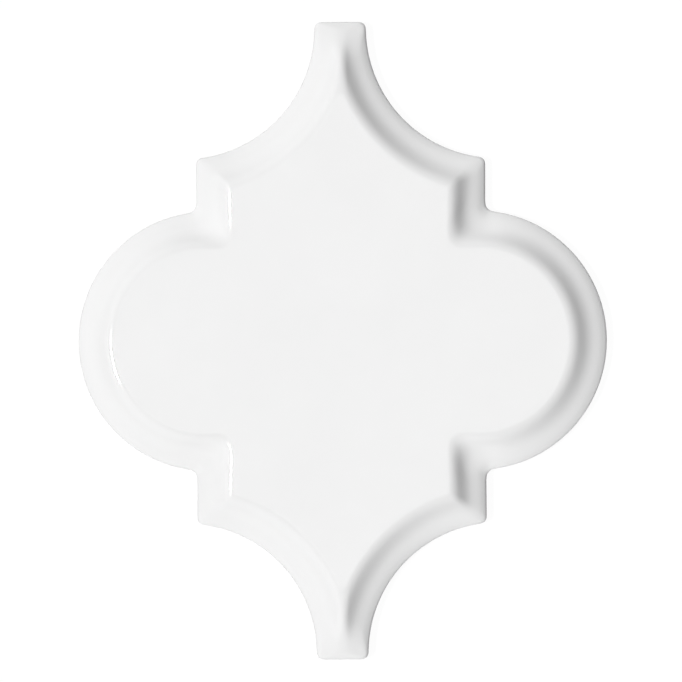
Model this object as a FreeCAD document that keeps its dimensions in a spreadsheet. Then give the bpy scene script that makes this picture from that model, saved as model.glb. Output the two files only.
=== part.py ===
import FreeCAD
import Part
import Sketcher
import math
import os

# One pressed and glazed wall tile with an arabesque (lantern) outline, lying on its back.
# +Z comes out of the glazed face, +Y runs along the tile, and the origin is the middle of the back.
# The outline is a straight-sided bar with a round lobe on each side and a round waist cut from each
# corner, which leaves a narrow neck at each end. One bevel section runs along the whole outline.
# A quarter of the tile, on the -X and -Y sides, is modelled and then mirrored twice.

NODE = "arabesque_tile"

# Driving sizes, in millimetres and degrees
SIZES = {
    "tile_length": 150.0,       # from neck end to neck end
    "tile_width": 124.3,        # over the two lobes
    "tile_thickness": 8.5,      # from the back to the raised field
    "shoulder_width": 68.06,    # over the straight sides between a lobe and a waist
    "neck_width": 12.48,        # where a neck is narrowest
    "lobe_radius": 30.2,
    "waist_radius": 30.6,       # room for a neighbour's lobe and the grout joint
    "waist_inset": 1.5,         # from a neck's end to the centres of its two waists
    "edge_radius": 1.4,         # rounding at the top of the upright edge
    "lip_angle": 19.0,          # slope of the outer band of the bevel
    "lip_length": 2.08,         # along that slope
    "cove_radius": 14.0,        # hollow between the lip and the steepest slope
    "steep_angle": 33.0,        # steepest slope of the bevel
    "crest_radius": 8.0,        # roll-over towards the flat field
    "field_angle": 12.0,        # slope that is left where the bevel meets the field
    "notch_round": 1.8,         # plan radius of the notches between a lobe and a shoulder
    "shoulder_round": 1.2,      # plan radius of the shoulder corners
    "neck_round": 0.8,          # plan radius of the corners at a neck's end
    "back_chamfer": 0.5,        # arris along the foot of the upright edge
    "cut_margin": 2.0,          # how far the cutting sections and the blank overshoot
}

# Sketcher's numbers for the points of a line or arc, and for a sketch's own origin and upright axis
START = 1
END = 2
ORIGIN = (-1, START)
UPRIGHT_AXIS = -2

QUARTER_TURN = math.pi / 2
SAME_PLACE = 0.001

doc = FreeCAD.newDocument("ArabesqueTile")
sheet = doc.addObject("Spreadsheet::Sheet", "Sizes")
for row, (alias, value) in enumerate(SIZES.items(), start=1):
    sheet.set(f"A{row}", alias)
    sheet.set(f"B{row}", str(value))
    sheet.setAlias(f"B{row}", alias)
doc.recompute()

body = doc.addObject("PartDesign::Body", "Tile")
body.Label = NODE
body.Placement = FreeCAD.Placement()
planes = {feature.Role: feature for feature in body.Origin.OriginFeatures}


def size(alias):
    return float(sheet.get(alias))


def leg(hypotenuse, other_leg):
    """The second short side of a right triangle."""
    return math.sqrt(hypotenuse ** 2 - other_leg ** 2)


def new_section(name, plane, across="0", along="0"):
    """A sketch that stands on the back, its origin moved within its plane and along its normal."""
    sketch = body.newObject("Sketcher::SketchObject", name)
    sketch.AttachmentSupport = (planes[plane], [""])
    sketch.MapMode = "FlatFace"
    sketch.setExpression("AttachmentOffset.Base.x", across)
    sketch.setExpression("AttachmentOffset.Base.z", along)
    return sketch


def constrain(sketch, kind, *where):
    sketch.addConstraint(Sketcher.Constraint(kind, *where))


def dimension(sketch, kind, where, value, expression):
    """Add a dimension to a sketch and bind it to the sheet."""
    number = sketch.addConstraint(Sketcher.Constraint(kind, *where, value))
    sketch.setExpression(f"Constraints[{number}]", expression)


def add_line(sketch, first, last):
    return sketch.addGeometry(Part.LineSegment(FreeCAD.Vector(*first), FreeCAD.Vector(*last)))


def add_arc(sketch, centre, radius, first_angle, last_angle):
    circle = Part.Circle(FreeCAD.Vector(*centre), FreeCAD.Vector(0, 0, 1), radius)
    return sketch.addGeometry(Part.ArcOfCircle(circle, first_angle, last_angle))


def add_bevel(sketch, wall_at, foot):
    """Draw the glazed edge from its upright wall, at wall_at, inwards to the flat field.

    Returns the wall line, the arc that ends at the field, and where the field begins.
    """
    lip = math.radians(size("lip_angle"))
    steep = math.radians(size("steep_angle"))
    field = math.radians(size("field_angle"))
    lip_length = size("lip_length")
    edge = size("edge_radius")
    cove = size("cove_radius")
    crest = size("crest_radius")
    top = size("tile_thickness")

    lip_low_x = wall_at + edge * (1 - math.sin(lip))
    lip_high_x = lip_low_x + lip_length * math.cos(lip)
    steep_x = lip_high_x + cove * (math.sin(steep) - math.sin(lip))
    field_x = steep_x + crest * (math.sin(steep) - math.sin(field))
    steep_y = top - crest * (math.cos(field) - math.cos(steep))
    lip_high_y = steep_y - cove * (math.cos(lip) - math.cos(steep))
    lip_low_y = lip_high_y - lip_length * math.sin(lip)
    wall_top = lip_low_y - edge * math.cos(lip)
    cove_centre = (lip_high_x - cove * math.sin(lip), lip_high_y + cove * math.cos(lip))
    crest_centre = (steep_x + crest * math.sin(steep), steep_y - crest * math.cos(steep))

    wall = add_line(sketch, (wall_at, foot), (wall_at, wall_top))
    rim = add_arc(sketch, (wall_at + edge, wall_top), edge, QUARTER_TURN + lip, 2 * QUARTER_TURN)
    slope = add_line(sketch, (lip_low_x, lip_low_y), (lip_high_x, lip_high_y))
    hollow = add_arc(sketch, cove_centre, cove, lip - QUARTER_TURN, steep - QUARTER_TURN)
    roll = add_arc(sketch, crest_centre, crest, QUARTER_TURN + field, QUARTER_TURN + steep)

    constrain(sketch, "Vertical", wall)
    constrain(sketch, "Tangent", wall, END, rim, END)
    constrain(sketch, "Tangent", rim, START, slope, START)
    constrain(sketch, "Tangent", slope, END, hollow, START)
    constrain(sketch, "Tangent", hollow, END, roll, END)
    dimension(sketch, "Radius", (rim,), edge, "Sizes.edge_radius")
    dimension(sketch, "Radius", (hollow,), cove, "Sizes.cove_radius")
    dimension(sketch, "Radius", (roll,), crest, "Sizes.crest_radius")
    dimension(sketch, "Distance", (slope,), lip_length, "Sizes.lip_length")
    dimension(sketch, "Angle", (slope,), lip, "Sizes.lip_angle")
    dimension(sketch, "Angle", (hollow,), steep - lip, "Sizes.steep_angle - Sizes.lip_angle")
    dimension(sketch, "Angle", (roll,), steep - field, "Sizes.steep_angle - Sizes.field_angle")
    dimension(sketch, "DistanceY", (*ORIGIN, roll, START), top, "Sizes.tile_thickness")
    return wall, roll, field_x


def close_section(sketch, wall, roll, points):
    """Join the wall's foot to the field through the points, by level and upright lines in turn."""
    lines = [add_line(sketch, first, last) for first, last in zip(points, points[1:])]
    constrain(sketch, "Coincident", wall, START, lines[0], START)
    for line, following in zip(lines, lines[1:]):
        constrain(sketch, "Coincident", line, END, following, START)
    constrain(sketch, "Coincident", lines[-1], END, roll, START)
    for number, line in enumerate(lines):
        constrain(sketch, "Horizontal" if number % 2 == 0 else "Vertical", line)
    return lines


def solid_section(sketch, reach, expression):
    """A section of the tile itself, from its edge to the sketch's upright axis."""
    top = size("tile_thickness")
    wall, roll, field_x = add_bevel(sketch, -reach, 0)
    lines = close_section(sketch, wall, roll, [(-reach, 0), (0, 0), (0, top), (field_x, top)])
    constrain(sketch, "Coincident", lines[0], END, *ORIGIN)
    dimension(sketch, "DistanceX", (wall, START, *ORIGIN), reach, expression)


def cutting_section(sketch, wall_at, far_side):
    """The space outside the bevel, from below the back to above the field.

    Returns the wall line and the upright at the far side.
    """
    margin = size("cut_margin")
    top = size("tile_thickness")
    wall, roll, field_x = add_bevel(sketch, wall_at, -margin)
    points = [(wall_at, -margin), (far_side, -margin), (far_side, top + margin)]
    points += [(field_x, top + margin), (field_x, top)]
    lines = close_section(sketch, wall, roll, points)
    dimension(sketch, "DistanceY", (wall, START, *ORIGIN), margin, "Sizes.cut_margin")
    dimension(sketch, "DistanceY", (roll, START, lines[2], END), margin, "Sizes.cut_margin")
    return wall, lines[1]


def new_feature(kind, name, profile, **properties):
    made = body.newObject(f"PartDesign::{kind}", name)
    made.Profile = profile
    for key, setting in properties.items():
        setattr(made, key, setting)
    return made


def corner_edge(made, place):
    """The name of the upright edge that stands at a place in plan."""
    for number, edge in enumerate(made.Shape.Edges, start=1):
        ends = [vertex.Point for vertex in edge.Vertexes]
        if len(ends) == 2 and all(math.dist((end.x, end.y), place) < SAME_PLACE for end in ends):
            return f"Edge{number}"
    raise RuntimeError(f"{made.Label} has no upright edge at {place}")


def round_corner(made, name, place, expression):
    """Round a plan corner, with the hip or valley that runs on from it up the bevel."""
    rounding = body.newObject("PartDesign::Fillet", name)
    rounding.Base = (made, [corner_edge(made, place)])
    rounding.setExpression("Radius", expression)
    doc.recompute()
    return rounding


def mirror(name, plane):
    """Double the tile so far across an origin plane."""
    made = body.newObject("PartDesign::Mirrored", name)
    made.TransformMode = "Whole shape"
    made.MirrorPlane = (planes[plane], [""])
    body.Tip = made
    doc.recompute()
    return made


def expect(before, after, bigger):
    """Stop if a feature left the volume as it was or changed it the wrong way."""
    change = after.Shape.Volume - before.Shape.Volume
    if change == 0 or (change > 0) != bigger:
        raise RuntimeError(f"{after.Label} changed the volume by {change}")


half_length = size("tile_length") / 2
half_shoulder = size("shoulder_width") / 2
lobe_across = size("tile_width") / 2 - size("lobe_radius")
waist_across = size("neck_width") / 2 + size("waist_radius")
waist_along = half_length - size("waist_inset")

# The bar between the two shoulders
bar_section = new_section("BarSection", "XZ_Plane")
solid_section(bar_section, half_shoulder, "Sizes.shoulder_width / 2")
bar = new_feature("Pad", "Bar", bar_section)
bar.setExpression("Length", "Sizes.tile_length / 2 + Sizes.cut_margin")
doc.recompute()

# The bevelled end of the neck
end_section = new_section("EndSection", "YZ_Plane")
end_overshoot = 2 * size("cut_margin")
end_wall, end_upright = cutting_section(end_section, -half_length, -half_length - end_overshoot)
dimension(end_section, "DistanceX", (end_wall, START, *ORIGIN), half_length, "Sizes.tile_length / 2")
dimension(end_section, "DistanceX", (end_upright, START, end_wall, START), end_overshoot,
          "2 * Sizes.cut_margin")
end_cut = new_feature("Pocket", "EndCut", end_section, SideType="Symmetric")
end_cut.setExpression("Length", "Sizes.shoulder_width + 2 * Sizes.cut_margin")
doc.recompute()
expect(bar, end_cut, bigger=False)

# The round waist beside the neck, turned about its own centre
waist_section = new_section("WaistSection", "XZ_Plane", "-Sizes.neck_width / 2 - Sizes.waist_radius",
                            "Sizes.tile_length / 2 - Sizes.waist_inset")
waist_wall, waist_upright = cutting_section(waist_section, size("waist_radius"), 0)
constrain(waist_section, "PointOnObject", waist_upright, START, UPRIGHT_AXIS)
dimension(waist_section, "DistanceX", (*ORIGIN, waist_wall, START), size("waist_radius"),
          "Sizes.waist_radius")
waist = new_feature("Groove", "Waist", waist_section, ReferenceAxis=(waist_section, ["V_Axis"]), Angle=360)
doc.recompute()
expect(end_cut, waist, bigger=False)

# Half of the round lobe, turned about its own centre
lobe_section = new_section("LobeSection", "XZ_Plane", "Sizes.lobe_radius - Sizes.tile_width / 2")
solid_section(lobe_section, size("lobe_radius"), "Sizes.lobe_radius")
lobe = new_feature("Revolution", "Lobe", lobe_section, ReferenceAxis=(lobe_section, ["V_Axis"]), Angle=180)
doc.recompute()
expect(waist, lobe, bigger=True)

# The plan corners, where two stretches of the outline cross
notch_place = (-half_shoulder, -leg(size("lobe_radius"), lobe_across - half_shoulder))
shoulder_place = (-half_shoulder, leg(size("waist_radius"), waist_across - half_shoulder) - waist_along)
neck_place = (leg(size("waist_radius"), size("waist_inset")) - waist_across, -half_length)
notch = round_corner(lobe, "NotchRound", notch_place, "Sizes.notch_round")
expect(lobe, notch, bigger=True)
shoulder = round_corner(notch, "ShoulderRound", shoulder_place, "Sizes.shoulder_round")
expect(notch, shoulder, bigger=False)
neck = round_corner(shoulder, "NeckRound", neck_place, "Sizes.neck_round")
expect(shoulder, neck, bigger=False)

# The whole tile, from its quarter
half_tile = mirror("HalfTile", "XZ_Plane")
expect(neck, half_tile, bigger=True)
whole_tile = mirror("WholeTile", "YZ_Plane")
expect(half_tile, whole_tile, bigger=True)

# The arris round the back
faces = whole_tile.Shape.Faces
back = min(range(len(faces)), key=lambda number: faces[number].CenterOfMass.z)
arris = body.newObject("PartDesign::Chamfer", "BackArris")
arris.Base = (whole_tile, [f"Face{back + 1}"])
arris.setExpression("Size", "Sizes.back_chamfer")
body.Tip = arris
doc.recompute()
expect(whole_tile, arris, bigger=False)

faults = [item.Name for item in doc.Objects if {"Invalid", "Error"} & set(item.State)]
if faults or body.Shape.isNull() or not body.Shape.isValid() or len(body.Shape.Solids) != 1:
    raise RuntimeError(f"the tile did not come out as one sound solid {faults}")
os.makedirs("parts", exist_ok=True)
body.Shape.exportStep(f"parts/{NODE}.step")
print(f"{NODE}: {body.Shape.Volume:.1f} mm3, {len(body.Shape.Faces)} faces")
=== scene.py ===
"""The looks of one glazed arabesque tile: its moulded face, its bare clay back, the light and the camera.

Everything is in metres, with the tile's back on the floor, its glazed face up and its length along Y.
"""
import functools
import math

import bmesh
import bpy
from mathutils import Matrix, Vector
from mathutils.geometry import delaunay_2d_cdt


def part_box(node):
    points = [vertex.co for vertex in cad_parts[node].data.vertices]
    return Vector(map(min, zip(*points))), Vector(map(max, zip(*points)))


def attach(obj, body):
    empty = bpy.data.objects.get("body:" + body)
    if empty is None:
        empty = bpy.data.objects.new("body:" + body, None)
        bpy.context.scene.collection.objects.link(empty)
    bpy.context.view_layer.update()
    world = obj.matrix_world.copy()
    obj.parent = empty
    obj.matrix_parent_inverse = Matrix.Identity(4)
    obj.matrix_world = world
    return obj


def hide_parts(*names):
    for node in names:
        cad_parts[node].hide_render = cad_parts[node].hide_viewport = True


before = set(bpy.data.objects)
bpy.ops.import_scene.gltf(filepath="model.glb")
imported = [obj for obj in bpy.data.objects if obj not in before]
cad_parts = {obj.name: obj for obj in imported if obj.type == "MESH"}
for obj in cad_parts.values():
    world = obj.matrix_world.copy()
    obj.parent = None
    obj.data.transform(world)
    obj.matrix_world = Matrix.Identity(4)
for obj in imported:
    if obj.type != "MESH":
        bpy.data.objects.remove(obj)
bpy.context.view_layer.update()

MM = 0.001
NODE = "arabesque_tile"
BODY = "root"

# The outline in plan: a straight-sided bar, a round lobe on each side and a round waist at each corner
HALF_WIDTH, HALF_LENGTH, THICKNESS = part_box(NODE)[1]
LOBE_RADIUS = 30.55 * MM
SHOULDER_HALF = 34.03 * MM
NECK_HALF = 6.1 * MM
WAIST_RADIUS = 30.6 * MM
WAIST_INSET = 1.5 * MM
WAIST_CENTRE = Vector((NECK_HALF + WAIST_RADIUS, HALF_LENGTH - WAIST_INSET))

# The bar and the raised field were pressed a little to one side of the lobes' edge
BAR_SHIFT = -0.33 * MM

# The bevel is wider on the +X side, and narrower on the other, by this share of its width
LOBE_LEAN = 0.04
SIDE_LEAN = 0.02

# The bevel's section: arcs over the edge (radius, slope at the end, rows),
# then sweeps up to the flat field (inset and slope at the end, rows)
BEVEL_WIDTH = 9.5 * MM
LIP_SLOPE = math.radians(22.5)
RISE_SLOPE = math.radians(46.5)
EDGE_ARCS = ((1.1 * MM, math.radians(36), 10), (8.0 * MM, LIP_SLOPE, 10))
SWEEPS = (
    (2.6 * MM, LIP_SLOPE, 2),
    (6.0 * MM, RISE_SLOPE, 18),
    (BEVEL_WIDTH, 0.0, 22),
)

# How widely two stretches of the bevel blend where they meet: at the edge, at the field,
# how much more it is in between, and the inset where that is most
NOTCH_BLEND = (2.3 * MM, 2.9 * MM, 4.6 * MM, 3.4 * MM)
CORNER_BLEND = (1.7 * MM, 0.6 * MM, 0.8 * MM, 2.0 * MM)
RIDGE_BLEND = (3.2 * MM, 3.2 * MM, 0.0, 1.0 * MM)
END_BLEND = (2.0 * MM, 2.0 * MM, 4.2 * MM, 3.2 * MM)

# A cut corner has its blend from the lesser of the two depths, evened out over this gap
EVEN_GAP = 1.6 * MM

# The lip is wider and the rise behind it steeper round each notch, as if scooped out:
# how much, how far to each side of the notch, at what inset, and how far in and out from there
SCOOP = 1.1 * MM
SCOOP_REACH = 7.0 * MM
SCOOP_INSET = 5.2 * MM
SCOOP_WIDTH = 2.9 * MM

# Guide lines cross the bevel through rows of points, from just outside the edge to well inside the field:
# the radius of the rows' corners at the edge, its growth inwards, the first row, the step and the number
GUIDE_ROUND = 1.5 * MM
GUIDE_GROWTH = 0.06
GUIDE_START = -0.6 * MM
GUIDE_STEP = 0.12 * MM
GUIDE_ROWS = 125

# Points along each stretch of a quarter of the outline
LOBE_POINTS = 44
NOTCH_POINTS = 10
SHOULDER_POINTS = 10
CORNER_POINTS = 8
WAIST_POINTS = 40
NECK_POINTS = 20

# The bare foot of the edge, below the line where the glaze stops,
# and the line's waves (size, number round the tile, start)
GLAZE_DEPTH = 0.12 * MM
GLAZE_LINE = 1.5 * MM
GLAZE_WAVES = ((0.22 * MM, 5, 0.4), (0.15 * MM, 11, 1.9), (0.09 * MM, 23, 0.7))
BACK_ARRIS = 0.5 * MM
SMALL_ROUND_ROWS = 4

# The flat fields' triangles: their spacing, only those inside the ring, and the gap at which points are one
FILL_SPACING = 4.0 * MM
INSIDE_ONLY = 1
SAME_POINT = 1e-9

# The places of the tile's materials in its mesh
GLAZED = 0
BARE = 1

# A noise's middle range, over which a finish goes from one end to the other
NOISE_LOW = 0.3
NOISE_HIGH = 0.7

# The glaze, with each noise as features to the metre and detail
MOTTLE_NOISE = (60, 3)
MOTTLE_COLOURS = ((0.862, 0.862, 0.862, 1.0), (0.878, 0.878, 0.878, 1.0))
POLISH_NOISE = (140, 2)
POLISH_ROUGHNESS = (0.035, 0.06)
PEEL_NOISE = (450, 2)
PEEL_DEPTH = 0.004 * MM
GLAZE_IOR = 1.5

# The bare clay
CLAY_NOISE = (220, 5)
CLAY_COLOURS = ((0.66, 0.60, 0.52, 1.0), (0.74, 0.69, 0.61, 1.0))
GRAIN_NOISE = (1800, 4)
GRAIN_ROUGHNESS = (0.8, 0.95)
GRAIN_DEPTH = 0.06 * MM

# The floor: its colour where it lights the tile, its own light and its shaded colour where it shows,
# half its width, and how far it lies below the tile
FLOOR_COLOUR = (0.2, 0.2, 0.2, 1.0)
FLOOR_LIGHT = 0.96
FLOOR_SHADE = (0.06, 0.06, 0.06, 1.0)
FLOOR_HALF = 3.0
FLOOR_DROP = 0.1 * MM

# The white surround's soft glows: azimuth from +X and height above the horizon in degrees, and level
WHITE = (1.0, 1.0, 1.0, 1.0)
GLOWS = {
    "far": (93, 5, 4.4),
    "near": (285, 5, 4.15),
}
GLOW_FOCUS = 12.0

# Each lamp: azimuth and height, width and depth as seen from the tile, all in degrees, and radiance
LAMP_DISTANCE = 10.0
LAMPS = {
    "key": (189.9, 57.0, 15.5, 3.2, 174.5),
    "overhead": (0.0, 90.0, 22.0, 22.0, 1.26),
}

# The photograph: a square frame, seen straight from above; the lens and the sensor are in millimetres
FRAME_SPAN = 160.5 * MM
FRAME_CENTRE = Vector((-0.43 * MM, -0.06 * MM))
FRAME_TURN = math.radians(-0.25)
LENS = 200.0
SENSOR = 36.0


def leg(hypotenuse, other):
    """The other leg of a right-angled triangle."""
    return math.sqrt(hypotenuse ** 2 - other ** 2)


def bearing(start, end):
    """The direction from one point to another, as an angle from +X."""
    return math.atan2(end[1] - start[1], end[0] - start[0])


def on_circle(centre, radius, angle):
    """The point of a circle in this direction from its centre."""
    return centre[0] + radius * math.cos(angle), centre[1] + radius * math.sin(angle)


def arc(centre, radius, start, end, count):
    """Points along an arc, without its last one."""
    return [on_circle(centre, radius, start + (end - start) * i / count) for i in range(count)]


def neck_end(centre, radius, start, count):
    """Points round a neck's corner and along its end to the long axis, evenly spaced."""
    round_length = radius * (math.pi / 2 - start)
    step = (round_length + centre[0]) / count
    points = []
    for i in range(count):
        along = step * i
        if along < round_length:
            points.append(on_circle(centre, radius, start + along / radius))
        else:
            points.append((centre[0] + round_length - along, centre[1] + radius))
    return points + [(0.0, centre[1] + radius)]


def lobe_across(side):
    """How far the lobe's centre is from the bar's axis, on the +X side (1) or the -X side (-1)."""
    return HALF_WIDTH - LOBE_RADIUS - side * BAR_SHIFT


def guide_row(inset, side):
    """Points this far inside the edge from the lobe's middle to the neck's, with plainly rounded corners."""
    lobe_centre = Vector((lobe_across(side), 0.0))
    turn = GUIDE_ROUND + GUIDE_GROWTH * inset
    lobe = LOBE_RADIUS - inset
    waist = WAIST_RADIUS + inset
    shoulder = SHOULDER_HALF - inset

    notch_x = shoulder + turn
    notch = Vector((notch_x, leg(lobe + turn, notch_x - lobe_centre.x)))
    corner_x = shoulder - turn
    corner = Vector((corner_x, WAIST_CENTRE.y - leg(waist + turn, WAIST_CENTRE.x - corner_x)))
    neck_y = HALF_LENGTH - inset - turn
    neck = Vector((WAIST_CENTRE.x - leg(waist + turn, WAIST_CENTRE.y - neck_y), neck_y))
    if neck.x < 0:
        # The two waists meet on the long axis before they reach the neck's end
        neck = Vector((0.0, WAIST_CENTRE.y - leg(waist + turn, WAIST_CENTRE.x)))

    lobe_end = bearing(lobe_centre, notch)
    corner_end = bearing(corner, WAIST_CENTRE)
    neck_start = bearing(neck, WAIST_CENTRE)
    side_step = (corner.y - notch.y) / SHOULDER_POINTS

    points = arc(lobe_centre, lobe, 0.0, lobe_end, LOBE_POINTS)
    points += arc(notch, turn, lobe_end + math.pi, math.pi, NOTCH_POINTS)
    points += [(shoulder, notch.y + side_step * i) for i in range(SHOULDER_POINTS)]
    points += arc(corner, turn, 0.0, corner_end, CORNER_POINTS)
    points += arc(WAIST_CENTRE, waist, corner_end + math.pi, neck_start + math.pi, WAIST_POINTS)
    return points + neck_end(neck, turn, neck_start, NECK_POINTS)


def smooth(share):
    """Eases from 0 to 1 with no slope at either end."""
    return share * share * (3 - 2 * share)


def hump(offset):
    """A smooth hump, 1 high, that fades away on both sides."""
    return math.exp(-offset ** 2)


def blended(gap, inset, blend):
    """How much is cut or filled, at this inset, where two depths differ by a gap."""
    at_edge, at_field, swell, swell_inset = blend
    inset = max(inset, 0.0)
    share = inset / swell_inset
    plain = at_edge + (at_field - at_edge) * smooth(min(inset / BEVEL_WIDTH, 1.0))
    width = plain + swell * share ** 2 * math.exp(2 - 2 * share)
    return max(width - abs(gap), 0.0) ** 2 / (4 * width)


def soft_min(first, second, blend):
    """The lesser of two depths, with the corner between them cut softly."""
    gap = first - second
    inset = (first + second - math.hypot(gap, EVEN_GAP)) / 2
    return min(first, second) - blended(gap, inset, blend)


def soft_max(first, second, blend):
    """The greater of two depths, with the corner between them filled softly."""
    return max(first, second) + blended(first - second, (first + second) / 2, blend)


def lobe_depth(x, y, side):
    """How far a point lies inside the lobe's edge."""
    out = x - lobe_across(side)
    reach = math.hypot(out, y)
    return (LOBE_RADIUS - reach) / (1 + side * LOBE_LEAN * out / reach)


def waist_depth(x, y, centre_x):
    """How far a point lies inside the edge of the waist with its centre here."""
    return math.hypot(x - centre_x, y - WAIST_CENTRE.y) - WAIST_RADIUS


def depth(x, y, side):
    """How far a point of one quarter lies inside the tile's edge, with its corners softened."""
    waist, other_waist = [waist_depth(x, y, centre_x) for centre_x in (WAIST_CENTRE.x, -WAIST_CENTRE.x)]
    neck = soft_min(soft_min(waist, other_waist, RIDGE_BLEND), HALF_LENGTH - y, END_BLEND)
    shoulder = (SHOULDER_HALF - x) / (1 + side * SIDE_LEAN)
    bar = soft_min(neck, shoulder, CORNER_BLEND)
    lobe = lobe_depth(x, y, side)
    whole = soft_max(bar, lobe, NOTCH_BLEND)
    return whole - SCOOP * hump((bar - lobe) / SCOOP_REACH) * hump((whole - SCOOP_INSET) / SCOOP_WIDTH)


@functools.cache
def guide_lines(side):
    """Lines that cross one quarter's bevel inwards, as lists of (depth, x, y)."""
    rows = [guide_row(GUIDE_START + GUIDE_STEP * i, side) for i in range(GUIDE_ROWS)]
    return [[(depth(x, y, side), x, y) for x, y in line] for line in zip(*rows)]


def point_at(line, inset):
    """The point of a guide line at this depth."""
    for (start, ax, ay), (end, bx, by) in zip(line, line[1:]):
        if end >= inset:
            share = (inset - start) / (end - start)
            return ax + (bx - ax) * share, ay + (by - ay) * share
    raise ValueError("the guide lines stop short of this depth")


def outline(inset):
    """The whole outline this far inside the edge, anticlockwise from the middle of the +X lobe."""
    right, left = [[point_at(line, inset) for line in guide_lines(side)] for side in (1, -1)]
    points = list(right)
    points += [(-x, y) for x, y in left[-2::-1]]
    points += [(-x, -y) for x, y in left[1:]]
    points += [(x, -y) for x, y in right[-2:0:-1]]
    return [(x + BAR_SHIFT, y) for x, y in points]


def bevel_rows():
    """The bevel's section as (inset, height above the wall), from the wall up to the flat field."""
    rows = [(0.0, 0.0)]
    slope = math.pi / 2
    for radius, end_slope, count in EDGE_ARCS:
        inset, height = rows[-1]
        for i in range(1, count + 1):
            here = slope + (end_slope - slope) * i / count
            rows.append((inset + radius * (math.sin(slope) - math.sin(here)),
                         height + radius * (math.cos(here) - math.cos(slope))))
        slope = end_slope
    for end_inset, end_slope, count in SWEEPS:
        inset = rows[-1][0]
        step = (end_inset - inset) / count
        for i in range(1, count + 1):
            # Each step has the slope of its own middle
            here = slope + (end_slope - slope) * smooth((i - 0.5) / count)
            rows.append((inset + step * i, rows[-1][1] + step * math.tan(here)))
        slope = end_slope
    return rows


def wall_top():
    """The height where the upright wall ends and the bevel begins."""
    return THICKNESS - bevel_rows()[-1][1]


def glaze_wave(point):
    """How far the glaze line runs above or below its level at this point of the outline."""
    angle = bearing((0.0, 0.0), point)
    return sum(size * math.sin(count * angle + start) for size, count, start in GLAZE_WAVES)


def tile_rows():
    """Rows of the tile's section from its back to its field: (inset, height, share of the glaze wave).

    Also gives the number of the row where the glaze starts.
    """
    quarter_turn = [math.pi / 2 * i / SMALL_ROUND_ROWS for i in range(SMALL_ROUND_ROWS + 1)]
    rows = [(GLAZE_DEPTH + BACK_ARRIS * (1 - math.sin(a)), BACK_ARRIS * (1 - math.cos(a)), 0.0)
            for a in quarter_turn]
    glaze_start = len(rows)
    rows += [(GLAZE_DEPTH * (1 - math.sin(a)), GLAZE_LINE + GLAZE_DEPTH * (1 - math.cos(a)), 1.0)
             for a in quarter_turn]
    # Half-way up the wall the wave has half its size, and at the top it is gone
    rows.append((0.0, (GLAZE_LINE + wall_top()) / 2, 0.5))
    rows += [(inset, wall_top() + height, 0.0) for inset, height in bevel_rows()]
    return rows, glaze_start


def inside(point, ring):
    """Whether a point lies within a closed ring of points."""
    x, y = point
    crossings = 0
    for (ax, ay), (bx, by) in zip(ring, ring[1:] + ring[:1]):
        if (ay > y) != (by > y) and x < ax + (bx - ax) * (y - ay) / (by - ay):
            crossings += 1
    return crossings % 2 == 1


def fill_points(inset):
    """A triangular grid of points that keeps clear of the outline at this inset."""
    ring = outline(inset + FILL_SPACING / 2)
    row_step = FILL_SPACING * math.sqrt(3) / 2
    columns = int(HALF_WIDTH / FILL_SPACING) + 1
    lines = int(HALF_LENGTH / row_step) + 1
    points = []
    for j in range(-lines, lines + 1):
        for i in range(-columns, columns + 1):
            point = ((i + (j % 2) / 2) * FILL_SPACING, j * row_step)
            if inside(point, ring):
                points.append(point)
    return points


def add_face(bm, corners, material):
    """A smoothly shaded face in one of the mesh's materials."""
    face = bm.faces.new(corners)
    face.material_index = material
    face.smooth = True


def fill(bm, ring, row, facing_up, material):
    """Closes the ring of vertices of a row with a flat field of even triangles."""
    inset, height, _ = row
    verts = ring + [bm.verts.new((x, y, height)) for x, y in fill_points(inset)]
    flat = [v.co.to_2d() for v in verts]
    border = list(range(len(ring)))
    _, _, triangles, sources, _, _ = delaunay_2d_cdt(flat, [], [border], INSIDE_ONLY, SAME_POINT)
    for triangle in triangles:
        corners = [verts[sources[i][0]] for i in triangle]
        add_face(bm, corners if facing_up else corners[::-1], material)


def tile_mesh(glaze, bisque):
    """The tile as one closed mesh: rows of points from its back, up the edge and bevel, to its field."""
    mesh = bpy.data.meshes.new("tile")
    mesh.materials.append(glaze)
    mesh.materials.append(bisque)
    bm = bmesh.new()
    rows, glaze_start = tile_rows()
    rings = []
    for inset, height, share in rows:
        points = outline(inset)
        rings.append([bm.verts.new((x, y, height + share * glaze_wave((x, y)))) for x, y in points])
    for number, (lower, upper) in enumerate(zip(rings, rings[1:])):
        material = BARE if number < glaze_start else GLAZED
        for i in range(len(lower)):
            add_face(bm, (lower[i - 1], lower[i], upper[i], upper[i - 1]), material)
    # The glaze ends in a crisp line
    glaze_ring = rings[glaze_start]
    for i in range(len(glaze_ring)):
        bm.edges.get((glaze_ring[i - 1], glaze_ring[i])).smooth = False
    fill(bm, rings[0], rows[0], False, BARE)
    fill(bm, rings[-1], rows[-1], True, GLAZED)
    bm.to_mesh(mesh)
    bm.free()
    return mesh


def new_material(name):
    """A new node material, with its node tree and its surface shader."""
    material = bpy.data.materials.new(name)
    material.use_nodes = True
    tree = material.node_tree
    return material, tree, tree.nodes["Principled BSDF"]


def noise(tree, scale, detail):
    """Noise in the tile's own coordinates, with about this many features to the metre."""
    place = tree.nodes.new("ShaderNodeTexCoord")
    node = tree.nodes.new("ShaderNodeTexNoise")
    node.inputs["Scale"].default_value = scale
    node.inputs["Detail"].default_value = detail
    tree.links.new(place.outputs["Object"], node.inputs["Vector"])
    return node.outputs["Fac"]


def spread(tree, source, low, high):
    """Spreads a noise's middle range evenly between two values."""
    node = tree.nodes.new("ShaderNodeMapRange")
    node.inputs["From Min"].default_value = NOISE_LOW
    node.inputs["From Max"].default_value = NOISE_HIGH
    node.inputs["To Min"].default_value = low
    node.inputs["To Max"].default_value = high
    tree.links.new(source, node.inputs["Value"])
    return node.outputs["Result"]


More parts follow.
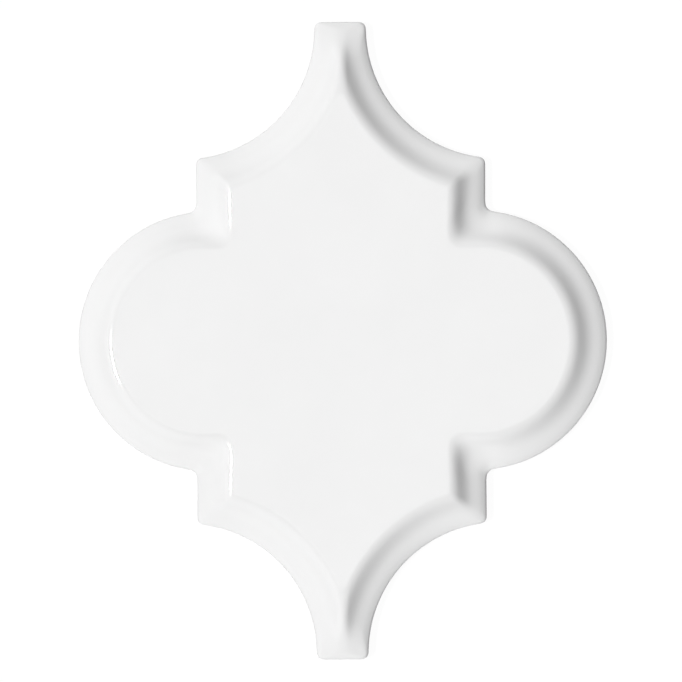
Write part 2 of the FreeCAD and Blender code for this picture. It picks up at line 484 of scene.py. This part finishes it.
def ramp(tree, source, low, high):
    """Goes from one colour to another over a noise's middle range."""
    node = tree.nodes.new("ShaderNodeValToRGB")
    ends = node.color_ramp.elements
    ends[0].position = NOISE_LOW
    ends[1].position = NOISE_HIGH
    ends[0].color = low
    ends[1].color = high
    tree.links.new(source, node.inputs["Fac"])
    return node.outputs["Color"]


def bump(tree, source, height):
    """A bump of this height in metres."""
    node = tree.nodes.new("ShaderNodeBump")
    node.inputs["Distance"].default_value = height
    tree.links.new(source, node.inputs["Height"])
    return node.outputs["Normal"]


def glaze_material():
    """White gloss glaze with a faint mottle, an uneven polish and a slight orange peel."""
    material, tree, shader = new_material("white_glaze")
    mottle = ramp(tree, noise(tree, *MOTTLE_NOISE), *MOTTLE_COLOURS)
    polish = spread(tree, noise(tree, *POLISH_NOISE), *POLISH_ROUGHNESS)
    peel = bump(tree, noise(tree, *PEEL_NOISE), PEEL_DEPTH)
    tree.links.new(mottle, shader.inputs["Base Color"])
    tree.links.new(polish, shader.inputs["Roughness"])
    tree.links.new(peel, shader.inputs["Normal"])
    shader.inputs["IOR"].default_value = GLAZE_IOR
    return material


def bisque_material():
    """Bare fired clay: pale and dry, with a fine grain."""
    material, tree, shader = new_material("bare_bisque")
    grain = noise(tree, *GRAIN_NOISE)
    clay = ramp(tree, noise(tree, *CLAY_NOISE), *CLAY_COLOURS)
    dryness = spread(tree, grain, *GRAIN_ROUGHNESS)
    relief = bump(tree, grain, GRAIN_DEPTH)
    tree.links.new(clay, shader.inputs["Base Color"])
    tree.links.new(dryness, shader.inputs["Roughness"])
    tree.links.new(relief, shader.inputs["Normal"])
    return material


def add_object(name, data):
    """A new object in the scene."""
    thing = bpy.data.objects.new(name, data)
    bpy.context.collection.objects.link(thing)
    return thing


def make_tile():
    """The dressed tile, in the place of the plain solid."""
    tile = add_object("tile", tile_mesh(glaze_material(), bisque_material()))
    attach(tile, BODY)
    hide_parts(NODE)


def calculate(tree, operation, first, second):
    """A math node on two inputs, each a socket or a number."""
    node = tree.nodes.new("ShaderNodeMath")
    node.operation = operation
    for place, value in zip(node.inputs, (first, second)):
        if isinstance(value, bpy.types.NodeSocket):
            tree.links.new(value, place)
        else:
            place.default_value = value
    return node.outputs["Value"]


def shown_rays(tree):
    """1 for rays that show the background: from the camera, off gloss or through glass."""
    path = tree.nodes.new("ShaderNodeLightPath")
    shown = path.outputs["Is Camera Ray"]
    for other in ("Is Glossy Ray", "Is Transmission Ray"):
        shown = calculate(tree, "MAXIMUM", shown, path.outputs[other])
    return shown


def light_or_show(tree, lighting, showing, output):
    """Puts out one shader for rays that only light the tile, and another for rays that show."""
    mix = tree.nodes.new("ShaderNodeMixShader")
    tree.links.new(shown_rays(tree), mix.inputs["Fac"])
    tree.links.new(lighting, mix.inputs[1])
    tree.links.new(showing, mix.inputs[2])
    tree.links.new(mix.outputs["Shader"], tree.nodes[output].inputs["Surface"])


def matt(tree, colour):
    """A plain matt shader of this colour."""
    node = tree.nodes.new("ShaderNodeBsdfDiffuse")
    node.inputs["Color"].default_value = colour
    return node.outputs["BSDF"]


def floor_material():
    """White where it shows, with a faint shadow, and plain pale where it only lights the tile."""
    material, tree, shader = new_material("pale_floor")
    tree.nodes.remove(shader)
    light = tree.nodes.new("ShaderNodeEmission")
    light.inputs["Strength"].default_value = FLOOR_LIGHT
    white = tree.nodes.new("ShaderNodeAddShader")
    tree.links.new(matt(tree, FLOOR_SHADE), white.inputs[0])
    tree.links.new(light.outputs["Emission"], white.inputs[1])
    light_or_show(tree, matt(tree, FLOOR_COLOUR), white.outputs["Shader"], "Material Output")
    return material


def make_floor():
    """A wide plain floor just under the tile."""
    signs = ((-1, -1), (1, -1), (1, 1), (-1, 1))
    corners = [(x * FLOOR_HALF, y * FLOOR_HALF, -FLOOR_DROP) for x, y in signs]
    mesh = bpy.data.meshes.new("floor")
    mesh.from_pydata(corners, [], [(0, 1, 2, 3)])
    mesh.materials.append(floor_material())
    floor = add_object("floor", mesh)


def towards(azimuth, height):
    """A unit vector in this direction, given in degrees."""
    around = math.radians(azimuth)
    up = math.radians(height)
    return Vector((math.cos(up) * math.cos(around), math.cos(up) * math.sin(around), math.sin(up)))


def glow(tree, direction, azimuth, height, level):
    """Light that fades away on all sides of the middle of one glow."""
    node = tree.nodes.new("ShaderNodeVectorMath")
    node.operation = "DOT_PRODUCT"
    node.inputs[1].default_value = towards(azimuth, height)
    tree.links.new(direction, node.inputs[0])
    facing = calculate(tree, "MAXIMUM", node.outputs["Value"], 0.0)
    return calculate(tree, "MULTIPLY", calculate(tree, "POWER", facing, GLOW_FOCUS), level)


def all_glows(tree):
    """The glows together."""
    direction = tree.nodes.new("ShaderNodeTexCoord").outputs["Generated"]
    total = 0.0
    for values in GLOWS.values():
        total = calculate(tree, "ADD", total, glow(tree, direction, *values))
    return total


def make_world():
    """A white surround that lights the tile only a little, by its glows."""
    world = bpy.data.worlds.new("surround")
    world.use_nodes = True
    tree = world.node_tree
    dim = tree.nodes["Background"]
    white = tree.nodes.new("ShaderNodeBackground")
    for background in (dim, white):
        background.inputs["Color"].default_value = WHITE
    tree.links.new(all_glows(tree), dim.inputs["Strength"])
    light_or_show(tree, dim.outputs["Background"], white.outputs["Background"], "World Output")
    bpy.context.scene.world = world


def lamp_span(angle):
    """How wide a lamp is that takes up this angle, in degrees, as seen from the tile."""
    return 2 * LAMP_DISTANCE * math.tan(math.radians(angle) / 2)


def make_lamp(name, azimuth, height, wide, tall, radiance):
    """A soft box that faces the tile."""
    away = towards(azimuth, height)
    light = bpy.data.lights.new(name, "AREA")
    light.shape = "RECTANGLE"
    light.size = lamp_span(wide)
    light.size_y = lamp_span(tall)
    light.energy = radiance * math.pi * light.size * light.size_y
    lamp = add_object(name, light)
    lamp.location = away * LAMP_DISTANCE
    lamp.rotation_euler = away.to_track_quat("Z", "Y").to_euler()
    lamp.visible_camera = False


def make_camera():
    """Looks straight down with a long lens, framed as the photograph is."""
    data = bpy.data.cameras.new("camera")
    data.lens = LENS
    data.sensor_width = SENSOR
    camera = add_object("camera", data)
    camera.location = (*FRAME_CENTRE, wall_top() + FRAME_SPAN * LENS / SENSOR)
    camera.rotation_euler = (0.0, 0.0, FRAME_TURN)
    bpy.context.scene.camera = camera


make_tile()
make_floor()
make_world()
for lamp_name, lamp_values in LAMPS.items():
    make_lamp(lamp_name, *lamp_values)
make_camera()
bpy.context.scene.view_settings.view_transform = "Standard"
